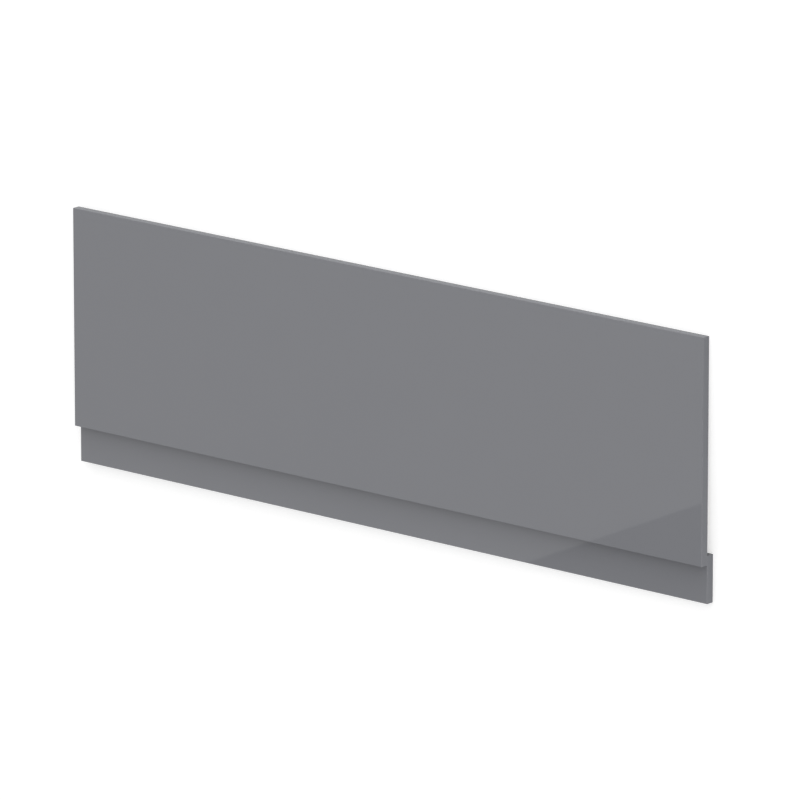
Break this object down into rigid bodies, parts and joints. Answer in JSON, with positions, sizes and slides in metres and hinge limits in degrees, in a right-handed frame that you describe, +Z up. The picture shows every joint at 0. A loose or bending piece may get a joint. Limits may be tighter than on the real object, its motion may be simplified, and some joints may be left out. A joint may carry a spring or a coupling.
{
  "type": "bath front panel",
  "caption": "Gloss grey bath front panel: a plain wrapped board with rounded front edges and a recessed plinth board screwed to its back, stored lying face up.",
  "frame": {"origin": "middle of the part's footprint, on the floor that it lies on", "axes": "+X along the length, to the right for someone who faces the gloss side with the plinth at the bottom; +Y from the plinth towards the panel's top edge; +Z up, out of the gloss face, which leans 2.3 degrees from it because the plinth's upper edge props the panel up"},
  "size_m": [1.7, 0.551, 0.0367],
  "materials": {
    "gloss_grey_board": "gloss",
    "zinc_screw": "satin"
  },
  "bodies": {
    "root": {"front_panel": "gloss_grey_board", "plinth": "gloss_grey_board"}
  },
  "joints": []
}
